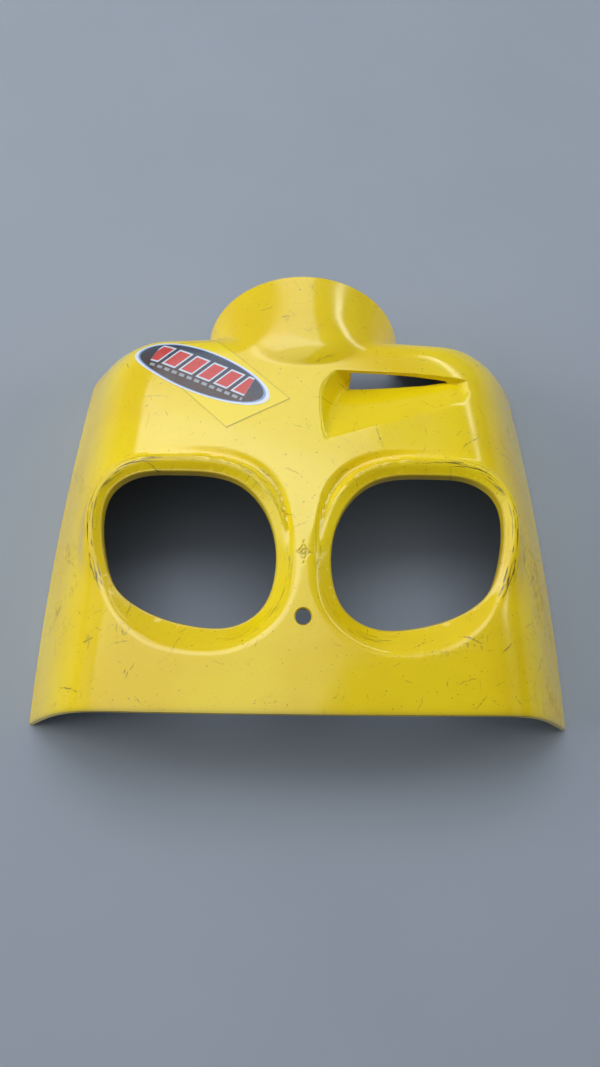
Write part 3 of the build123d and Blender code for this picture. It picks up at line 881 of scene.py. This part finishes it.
def scratches(tree, place, *sets):
    """Fine scratches in several sets laid over each other.  A set is (angle, spacing, length,
    seed), in radians and metres: noise stretched along one direction and cut to its crests."""
    marks = 0.0
    for angle, spacing, run, seed in sets:
        stretched = add_node(tree, "Mapping", {
            "Vector": place, "Rotation": (0.3, 0.2, angle), "Location": (seed, seed * 0.7, 0.0),
            "Scale": (1.0 / spacing, 1.0 / run, 1.0 / spacing)})
        noise = add_node(tree, "TexNoise", {
            "Vector": stretched, "Scale": 1.0, "Detail": 3.0, "Roughness": 0.6})
        line = add_node(tree, "MapRange", [noise, 0.57, 0.64], **EASED)
        marks = add_node(tree, "Math", [marks, line], operation="MAXIMUM")
    return marks


def strokes(tree, place, worn, cell, seed):
    """Single strokes: one in each cell of a random pattern, turned by its own angle, present
    where the skin is worn more than the cell's own threshold.  cell is in metres."""
    scaled = add_node(tree, "Mapping", {
        "Vector": place, "Location": (seed, seed * 0.37, 0.0), "Scale": (1.0 / cell,) * 3})
    cells = add_node(tree, "TexVoronoi", {"Vector": scaled, "Scale": 1.0}, voronoi_dimensions="2D")
    chance = add_node(tree, "SeparateColor", [cells.outputs["Color"]])
    local = add_node(tree, "VectorMath", [scaled, cells.outputs["Position"]],
                     operation="SUBTRACT")
    spin = add_node(tree, "Math", [chance.outputs[0], 2.0 * math.pi], operation="MULTIPLY")
    spun = add_node(tree, "VectorRotate", {"Vector": local, "Angle": spin},
                    rotation_type="Z_AXIS")
    axes = add_node(tree, "SeparateXYZ", [spun])
    wobble = add_node(tree, "TexNoise", {"Vector": scaled, "Scale": 5.0, "Detail": 3.0})
    sway = 0.16
    bent = add_node(tree, "Math", [wobble, sway, axes.outputs[1]], operation="MULTIPLY_ADD")
    bent = add_node(tree, "Math", [bent, sway / 2.0], operation="SUBTRACT")
    off = add_node(tree, "Math", [bent], operation="ABSOLUTE")
    run = add_node(tree, "Math", [axes.outputs[0]], operation="ABSOLUTE")
    margin = add_node(tree, "Math", [worn, chance.outputs[1]], operation="SUBTRACT")
    grain = add_node(tree, "TexNoise", {"Vector": scaled, "Scale": 14.0, "Detail": 2.0})
    line = 1.0
    for limits in ([off, 0.004, 0.022, 1.0, 0.0],                # thin
                   [run, 0.05, 0.42, 1.0, 0.0],                  # short
                   [margin, -0.02, 0.04],                        # only where worn
                   [grain, 0.36, 0.52],                          # broken
                   [chance.outputs[2], 0.0, 1.0, 0.35, 1.0]):    # fainter in some cells
        share = add_node(tree, "MapRange", limits, **EASED)
        line = add_node(tree, "Math", [line, share], operation="MULTIPLY")
    return line


def moulded_plastic(paint):
    """ABS moulded in colour against a polished tool: an even, saturated yellow with a gloss skin.
    Handling leaves grey scratches where it is worn, brown specks, and a dull haze.  The dark
    colour also paints shade along the lower edge and on the lamp lips, and darkens the mark's
    lines."""
    material, tree, shader = new_material("abs_yellow_moulded")
    place = add_node(tree, "TexCoord").outputs["Object"]
    # the second attribute carries painted shade along the lower edge and on the lamp lips, and the
    # mark's darkened lines
    worn, edge_shade_mark_fac, brow, along, across = [
        add_node(tree, "Attribute", attribute_name=title).outputs["Fac"]
        for title in ("wear", "soil", "brow", "brow_along", "brow_across")]
    # in turn: colour, broken scratches, patches, specks, haze and moulding ripple, whose features
    # are about 56, 3, 18, 1, 29 and 17 mm across; the specks are drawn coarser than real ones
    cloud, gaps, patch, specks, haze, ripple = [
        add_node(tree, "TexNoise", {"Vector": place, "Scale": scale, "Detail": detail})
        for scale, detail in ((18.0, 4.0), (330.0, 2.0), (55.0, 5.0), (900.0, 1.0), (35.0, 6.0),
                              (60.0, 3.0))]
    base = add_node(tree, "Mix", {
        "Factor": add_node(tree, "MapRange", [cloud, 0.35, 0.7], **EASED),
        "A": linear(paint.plastic), "B": linear(paint.plastic_deep)}, **COLOURS)
    marks = scratches(tree, place, (0.35, 0.0013, 0.022, 1.0), (1.5, 0.0012, 0.016, 4.0),
                      (-0.75, 0.0015, 0.028, 7.0), (2.4, 0.0011, 0.012, 9.0))
    unbroken = add_node(tree, "MapRange", [gaps, 0.44, 0.56], **EASED)
    marks = add_node(tree, "Math", [marks, unbroken], operation="MULTIPLY")
    ring_place = add_node(tree, "CombineXYZ", [across, along, 0.0])
    ring_marks = scratches(tree, ring_place, (0.05, 0.0007, 0.011, 2.0),
                           (-0.12, 0.0011, 0.018, 6.0))
    lines = [strokes(tree, place, worn, cell, seed)
             for cell, seed in ((0.014, 3.0), (0.022, 11.0), (0.008, 5.0))]
    # the skin's patches come last, because they also dull it below
    for there, amount, low, high in ((ring_marks, brow, 0.12, 0.34), (marks, worn, 0.22, 0.42)):
        patchy = add_node(tree, "Math", [amount, patch], operation="MULTIPLY")
        where = add_node(tree, "MapRange", [patchy, low, high], **EASED)
        lines.append(add_node(tree, "Math", [there, where], operation="MULTIPLY"))
    scuffed = 0.0
    for line in lines:
        scuffed = add_node(tree, "Math", [scuffed, line], operation="MAXIMUM")
    scuffs_specks_shade = add_node(tree, "MapRange", [specks, 0.735, 0.76, 0.0, 0.7], **EASED)
    # scratches, specks, and the painted shade of the lower edge and lamp lips all mix towards the
    # dark grime colour
    for part, strength in ((scuffed, 0.88), (edge_shade_mark_fac, 0.55)):
        dark = add_node(tree, "Math", [part, strength], operation="MULTIPLY")
        scuffs_specks_shade = add_node(tree, "Math", [scuffs_specks_shade, dark], operation="MAXIMUM")
    mixed = add_node(tree, "Mix", {"Factor": scuffs_specks_shade, "A": base, "B": linear(paint.grime_and_painted_shade)},
                     **COLOURS)
    rough = add_node(tree, "MapRange", [haze, 0.3, 0.75, 0.10, 0.24], **EASED)
    rough = add_node(tree, "Math", [where, 0.16, rough], operation="MULTIPLY_ADD")
    relief = add_node(tree, "Math", [scuffed, -0.35, ripple], operation="MULTIPLY_ADD")
    bump = add_node(tree, "Bump", {"Height": relief, "Strength": 0.25, "Distance": 0.0004})
    fill(tree, shader, {"Base Color": mixed, "Roughness": rough, "IOR": 1.5, "Normal": bump})
    return material


def moulded_back(paint):
    """The unpolished side of the same moulding, dull, with a fine grain from the tool.  Its dark
    brown is painted shade for the inside of the shell, greyed further by road dust in patches of
    about 25 mm."""
    material, tree, shader = new_material("abs_yellow_unpolished_back")
    place = add_node(tree, "TexCoord").outputs["Object"]
    dust = add_node(tree, "TexNoise", {"Vector": place, "Scale": 40.0, "Detail": 6.0})
    mixed = add_node(tree, "Mix", {
        "Factor": add_node(tree, "MapRange", [dust, 0.3, 0.7], **EASED),
        "A": linear(paint.back_shade_and_dust), "B": linear(paint.grime_and_painted_shade)}, **COLOURS)
    grain = add_node(tree, "TexNoise", {"Vector": place, "Scale": 1400.0})
    bump = add_node(tree, "Bump", {"Height": grain, "Strength": 0.3, "Distance": 0.0003})
    fill(tree, shader, {"Base Color": mixed, "Roughness": 0.6, "Normal": bump})
    return material


def carrier_film(paint):
    """Clear vinyl film, calendered: it takes the colour beneath, a little paler and glossier, with
    a thin dark line of dirt along its cut edge and bubbles of a few millimetres trapped under it,
    which show as bumps."""
    material, tree, shader = new_material("vinyl_film_clear")
    place = add_node(tree, "TexCoord")
    uv = add_node(tree, "SeparateXYZ", [place.outputs["UV"]])
    nearest = 0.0
    for axis in (0, 1):
        centred = add_node(tree, "Math", [uv.outputs[axis], 0.5], operation="SUBTRACT")
        away = add_node(tree, "Math", [centred], operation="ABSOLUTE")
        nearest = add_node(tree, "Math", [nearest, away], operation="MAXIMUM")
    edge = add_node(tree, "MapRange", [nearest, 0.488, 0.496], **EASED)
    dark = add_node(tree, "Math", [edge, 0.55], operation="MULTIPLY")
    mixed = add_node(tree, "Mix", {
        "Factor": dark, "A": linear(paint.film), "B": linear(paint.grime_and_painted_shade)}, **COLOURS)
    bubbles = add_node(tree, "TexVoronoi", {"Vector": place.outputs["Object"], "Scale": 160.0})
    rare = add_node(tree, "TexNoise", {"Vector": place.outputs["Object"], "Scale": 45.0})
    ring = add_node(tree, "MapRange", [bubbles, 0.0, 0.22, 1.0, 0.0], **EASED)
    some = add_node(tree, "MapRange", [rare, 0.58, 0.64], **EASED)
    blister = add_node(tree, "Math", [ring, some], operation="MULTIPLY")
    bump = add_node(tree, "Bump", {"Height": blister, "Strength": 0.5, "Distance": 0.0005})
    fill(tree, shader, {"Base Color": mixed, "Roughness": 0.3, "IOR": 1.5, "Normal": bump})
    return material


def printed_vinyl(paint):
    """Screen-printed vinyl under a gloss laminate: a pale border, a thin blue line, a field that
    fades from blue-grey to brown, and plain slanted bars, pale round red, over a dashed grey rule.
    u and v run from -1 to 1 along and across the oval."""
    material, tree, shader = new_material("vinyl_screen_printed")
    place = add_node(tree, "TexCoord")
    uv = add_node(tree, "SeparateXYZ", [place.outputs["UV"]])
    u, v = [add_node(tree, "Math", [uv.outputs[axis], 2.0, -1.0], operation="MULTIPLY_ADD")
            for axis in (0, 1)]
    flat = add_node(tree, "CombineXYZ", [u, v, 0.0])
    radius = add_node(tree, "VectorMath", [flat], operation="LENGTH").outputs["Value"]
    mixed = add_node(tree, "Mix", {
        "Factor": add_node(tree, "MapRange", [v, 0.5, -0.6], **EASED),
        "A": linear(paint.print_dark), "B": linear(paint.print_brown)}, **COLOURS)
    slant = add_node(tree, "Math", [v, -0.13, u], operation="MULTIPLY_ADD")
    # how far each point is from the middle of its bar, from the bars' level and from the rule
    waves = add_node(tree, "Math", [slant, 3.9], operation="MULTIPLY")
    cycle = add_node(tree, "Math", [waves], operation="FRACT")
    dash_waves = add_node(tree, "Math", [u, 9.0], operation="MULTIPLY")
    dash = add_node(tree, "Math", [dash_waves], operation="FRACT")
    width, height, rule = [
        add_node(tree, "Math", [add_node(tree, "Math", [value, middle], operation="SUBTRACT")],
                 operation="ABSOLUTE")
        for value, middle in ((cycle, 0.5), (v, 0.14), (v, -0.47))]
    reach = add_node(tree, "Math", [u], operation="ABSOLUTE")
    ends = [reach, 0.70, 0.69]
    layers = [
        (([width, 0.41, 0.38], [height, 0.47, 0.43], ends), paint.print_border),
        (([width, 0.33, 0.30], [height, 0.40, 0.36], ends), paint.print_red),
        (([rule, 0.075, 0.055], [dash, 0.68, 0.62], ends), "#9aa0a8"),
        (([radius, 0.905, 0.915],), "#7f9fd0"),
        (([radius, 0.935, 0.95],), "#dfe6ee"),
    ]
    for limits, tint in layers:
        mask = 1.0
        for limit in limits:
            share = add_node(tree, "MapRange", limit, **EASED)
            mask = add_node(tree, "Math", [mask, share], operation="MULTIPLY")
        mixed = add_node(tree, "Mix", {"Factor": mask, "A": mixed, "B": linear(tint)}, **COLOURS)
    haze = add_node(tree, "TexNoise", {
        "Vector": place.outputs["Object"], "Scale": 120.0, "Detail": 4.0})
    rough = add_node(tree, "MapRange", [haze, 0.3, 0.7, 0.22, 0.4], **EASED)
    fill(tree, shader, {"Base Color": mixed, "Roughness": rough, "IOR": 1.5})
    return material


def phosphated_steel():
    """Spring steel, stamped and phosphated: dark grey and matt, with rust at its grain."""
    material, tree, shader = new_material("spring_steel_phosphated")
    place = add_node(tree, "TexCoord").outputs["Object"]
    grain = add_node(tree, "TexNoise", {"Vector": place, "Scale": 700.0, "Detail": 5.0})
    mixed = add_node(tree, "Mix", {
        "Factor": add_node(tree, "MapRange", [grain, 0.55, 0.75], **EASED),
        "A": linear("#4b4a47"), "B": linear("#6d4a32")}, **COLOURS)
    rough = add_node(tree, "MapRange", [grain, 0.3, 0.7, 0.35, 0.6], **EASED)
    bump = add_node(tree, "Bump", {"Height": grain, "Strength": 0.2, "Distance": 0.0001})
    fill(tree, shader, {"Base Color": mixed, "Metallic": 0.85, "Roughness": rough,
                        "Normal": bump})
    return material


def floor_finish(paint):
    """Painted concrete, rolled: pale and matt with a faint mottle of about 110 mm."""
    material, tree, shader = new_material("concrete_painted")
    place = add_node(tree, "TexCoord").outputs["Object"]
    mottle = add_node(tree, "TexNoise", {"Vector": place, "Scale": 9.0, "Detail": 8.0})
    mixed = add_node(tree, "Mix", {
        "Factor": add_node(tree, "MapRange", [mottle, 0.3, 0.7, 0.0, 0.12], **EASED),
        "A": linear(paint.floor), "B": linear("#7f8996")}, **COLOURS)
    fill(tree, shader, {"Base Color": mixed, "Roughness": 0.75})
    return material


# ------------------------------------------------------------------ operators
class COWL_OT_make_shell(bpy.types.Operator):
    """Build the moulded shell"""
    bl_idname = "cowl.make_shell"
    bl_label = "Make shell"

    def execute(self, context):
        cowl = Cowl(context.scene.cowl_form)
        paint = context.scene.cowl_paint
        piece = build_shell(cowl, [moulded_plastic(paint), moulded_back(paint)])
        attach(piece, "root")
        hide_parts("cowl_shell")
        return {"FINISHED"}


class COWL_OT_make_lamp_lips(bpy.types.Operator):
    """Build the rolled edges of the lamp openings"""
    bl_idname = "cowl.make_lamp_lips"
    bl_label = "Make lamp lips"

    def execute(self, context):
        cowl = Cowl(context.scene.cowl_form)
        piece = build_lamp_lips(cowl, [bpy.data.materials["abs_yellow_moulded"]])
        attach(piece, "root")
        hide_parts("cowl_shell")
        return {"FINISHED"}


class COWL_OT_make_back_fittings(bpy.types.Operator):
    """Build the tabs, ribs and boss on the back"""
    bl_idname = "cowl.make_back_fittings"
    bl_label = "Make back fittings"

    def execute(self, context):
        cowl = Cowl(context.scene.cowl_form)
        # the fittings inside take the same dark brown painted shade
        material = bpy.data.materials["abs_yellow_unpolished_back"]
        piece = build_back_fittings(cowl, [material])
        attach(piece, "root")
        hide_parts("cowl_shell")
        return {"FINISHED"}


class COWL_OT_make_stickers(bpy.types.Operator):
    """Lay the clear film, the printed oval and the film scrap on the skin"""
    bl_idname = "cowl.make_stickers"
    bl_label = "Make stickers"

    def execute(self, context):
        cowl = Cowl(context.scene.cowl_form)
        paint = context.scene.cowl_paint
        film, film_top, oval_top = carrier_film(paint), 0.12, 0.28

        low_x, low_y, high_x, high_y = node_plan("decal_film")
        corners = np.array([(low_x + 0.4, high_y - 5.0), (low_x + 53.0, low_y + 0.6),
                            (high_x - 0.4, low_y + 18.0), (low_x + 44.5, high_y - 0.6)])
        s, t = np.meshgrid(np.linspace(0.0, 1.0, 70), np.linspace(0.0, 1.0, 46))
        weights = np.stack([(1 - s) * (1 - t), s * (1 - t), s * t, (1 - s) * t], -1)
        x, y = np.moveaxis(weights @ corners, -1, 0)
        sheet = build_slab(cowl, "decal_film_laid", x, y, film_top, [film], np.stack([s, t], -1))
        self.finish(sheet, "decal_film", "clear_film")

        low_x, low_y, high_x, high_y = node_plan("decal_oval")
        u, v = disc(60, 150)
        turn, half_long, half_short = math.radians(-26.0), 40.5, 13.5
        along, aside = half_long * u, half_short * v
        x = (low_x + high_x) / 2 + along * math.cos(turn) - aside * math.sin(turn)
        y = (low_y + high_y) / 2 + along * math.sin(turn) + aside * math.cos(turn)
        oval = build_slab(cowl, "decal_oval_laid", x, y, oval_top, [printed_vinyl(paint)],
                          (np.stack([u, v], -1) + 1) / 2)
        self.finish(oval, "decal_oval", "printed_vinyl")

        low_x, low_y, high_x, high_y = node_plan("film_scrap")
        s, t = np.meshgrid(np.linspace(-1.0, 1.0, 16), np.linspace(-1.0, 1.0, 16))
        x = (low_x + high_x) / 2 + (s - t) * (high_x - low_x) / 4
        y = (low_y + high_y) / 2 + (s + t) * (high_y - low_y) / 4
        scrap = build_slab(cowl, "film_scrap_laid", x, y, film_top, [film],
                           (np.stack([s, t], -1) + 1) / 2)
        self.finish(scrap, "film_scrap", "clear_film")
        return {"FINISHED"}

    def finish(self, piece, node, slot):
        """Tie a sticker to the frame."""
        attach(piece, "root")
        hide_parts(node)


class COWL_OT_finish_clips(bpy.types.Operator):
    """Give the clip nuts their steel"""
    bl_idname = "cowl.finish_clips"
    bl_label = "Finish clip nuts"

    def execute(self, context):
        steel = phosphated_steel()
        for name, piece in frame["nodes"].items():
            if name.startswith("clip_nut"):
                for slot in piece.material_slots:
                    slot.material = steel
        return {"FINISHED"}


LAMPS = [                  # name, place, point it faces, size in metres, tint, where it shows
    ("overhead", (-0.22, 0.68, 1.2), (0.0, 0.0, 0.05), (1.05, 1.0), "#eef3ff", "gloss"),
    ("strip", (1.75, 0.75, 1.2), (0.0, 0.08, 0.07), (1.0, 0.2), "#ffffff", "gloss"),
    ("hood_strip", (0.85, 1.15, 0.90), (0.02, 0.09, 0.07), (0.8, 0.14), "#ffffff", "gloss"),
    ("veil", (-0.45, 0.2, 1.25), (-0.2, 0.1, 0.05), (1.3, 1.4), "#eef3ff", "gloss"),
    ("sky_panel", (-0.1, 0.7, 1.5), (0.0, 0.1, 0.0), (1.5, 0.9), "#f4f8ff", "body"),
    ("key", (-0.95, 1.15, 0.85), (0.0, 0.0, 0.03), (0.9, 0.9), "#fffaf0", "body"),
    ("left", (-1.5, 0.0, 0.75), (0.0, 0.0, 0.03), (0.9, 0.7), "#fff8ec", "body"),
    ("right", (1.5, 0.1, 0.8), (0.0, 0.0, 0.03), (0.9, 0.7), "#fff8ec", "body"),
]


def add_lamp(name, place, aim, size, tint, shows_in, watts):
    """A soft rectangular lamp at a place, turned to face a point; it shows either in the gloss or
    in the body of the colour."""
    data = bpy.data.lights.new(name, "AREA")
    data.shape = "RECTANGLE"
    data.size, data.size_y = size
    data.energy = watts
    data.color = linear(tint)[:3]
    lamp = bpy.data.objects.new(name, data)
    lamp.location = place
    lamp.rotation_euler = (Vector(aim) - Vector(place)).to_track_quat("-Z", "Y").to_euler()
    lamp.visible_glossy = shows_in == "gloss"
    lamp.visible_diffuse = shows_in == "body"
    bpy.context.scene.collection.objects.link(lamp)


def light_sky(scene, stage):
    """A world that is brightest towards the back, the left and above."""
    world = bpy.data.worlds.new("studio")
    scene.world = world
    world.use_nodes = True
    tree = world.node_tree
    brightest_side = (-0.45, 0.75, 0.48)
    toward = add_node(tree, "TexCoord").outputs["Generated"]
    facing = add_node(tree, "VectorMath", [toward, brightest_side],
                      operation="DOT_PRODUCT").outputs["Value"]
    dimmest, brightest = 0.25 * stage.sky_strength, 1.9 * stage.sky_strength
    strength = add_node(tree, "MapRange", [facing, -0.6, 0.9, dimmest, brightest], **EASED)
    fill(tree, tree.nodes["Background"], {"Color": linear(stage.sky), "Strength": strength})


def add_camera(scene, stage):
    """The camera, turned by yaw, elevation and roll in that order."""
    lean, yaw, roll = stage.camera_elevation, stage.camera_yaw, stage.camera_roll
    view = Vector((math.sin(yaw) * math.cos(lean), math.cos(yaw) * math.cos(lean),
                   -math.sin(lean)))
    right = Vector((math.cos(yaw), -math.sin(yaw), 0.0))
    up = right.cross(view)
    right_rolled = math.cos(roll) * right + math.sin(roll) * up
    up_rolled = -math.sin(roll) * right + math.cos(roll) * up
    data = bpy.data.cameras.new("camera")
    data.lens, data.sensor_width = stage.lens, 36.0
    camera = bpy.data.objects.new("camera", data)
    columns = Matrix((right_rolled, up_rolled, -view)).transposed().to_4x4()
    camera.matrix_world = Matrix.Translation(Vector(stage.camera_place)) @ columns
    scene.collection.objects.link(camera)
    scene.camera = camera


class COWL_OT_set_stage(bpy.types.Operator):
    """Lay the floor and set the lights and camera"""
    bl_idname = "cowl.set_stage"
    bl_label = "Set stage"

    def execute(self, context):
        stage = context.scene.cowl_stage
        half, under = 4000.0, -0.3
        s, t = np.meshgrid(np.linspace(-half, half, 9), np.linspace(-half, half, 9))
        points = np.stack([s, t, np.full(s.shape, under)], -1).reshape(-1, 3)
        quads = shell_faces(np.ones(s.shape, bool))[0]
        floor = put_mesh("floor", points, [quads], [floor_finish(context.scene.cowl_paint)])
        light_sky(context.scene, stage)
        for lamp in LAMPS:
            add_lamp(*lamp, getattr(stage, lamp[0]))
        add_camera(context.scene, stage)
        context.scene.view_settings.view_transform = "Standard"
        return {"FINISHED"}


class COWL_PT_panel(bpy.types.Panel):
    """Lists the settings and steps"""
    bl_idname = "COWL_PT_panel"
    bl_label = "Scooter nose cowl"
    bl_space_type = "VIEW_3D"
    bl_region_type = "UI"
    bl_category = "Cowl"

    def draw(self, context):
        for group in (context.scene.cowl_form, context.scene.cowl_paint, context.scene.cowl_stage):
            box = self.layout.box()
            for name in group.bl_rna.properties.keys():
                if name not in ("rna_type", "name"):
                    box.prop(group, name)
        for operator in OPERATORS:
            self.layout.operator(operator.bl_idname)


OPERATORS = (COWL_OT_make_shell, COWL_OT_make_lamp_lips, COWL_OT_make_back_fittings,
             COWL_OT_make_stickers, COWL_OT_finish_clips, COWL_OT_set_stage)
CLASSES = (CowlForm, CowlPaint, CowlStage, *OPERATORS, COWL_PT_panel)


def register():
    """Register the classes and hang the settings on the scene."""
    for item in CLASSES:
        bpy.utils.register_class(item)
    bpy.types.Scene.cowl_form = PointerProperty(type=CowlForm)
    bpy.types.Scene.cowl_paint = PointerProperty(type=CowlPaint)
    bpy.types.Scene.cowl_stage = PointerProperty(type=CowlStage)


def unregister():
    """Undo register."""
    del bpy.types.Scene.cowl_form, bpy.types.Scene.cowl_paint, bpy.types.Scene.cowl_stage
    for item in reversed(CLASSES):
        bpy.utils.unregister_class(item)


def main():
    """Build everything in order."""
    register()
    bpy.ops.cowl.make_shell()
    bpy.ops.cowl.make_lamp_lips()
    bpy.ops.cowl.make_back_fittings()
    bpy.ops.cowl.make_stickers()
    bpy.ops.cowl.finish_clips()
    bpy.ops.cowl.set_stage()


if __name__ == "__main__":
    main()
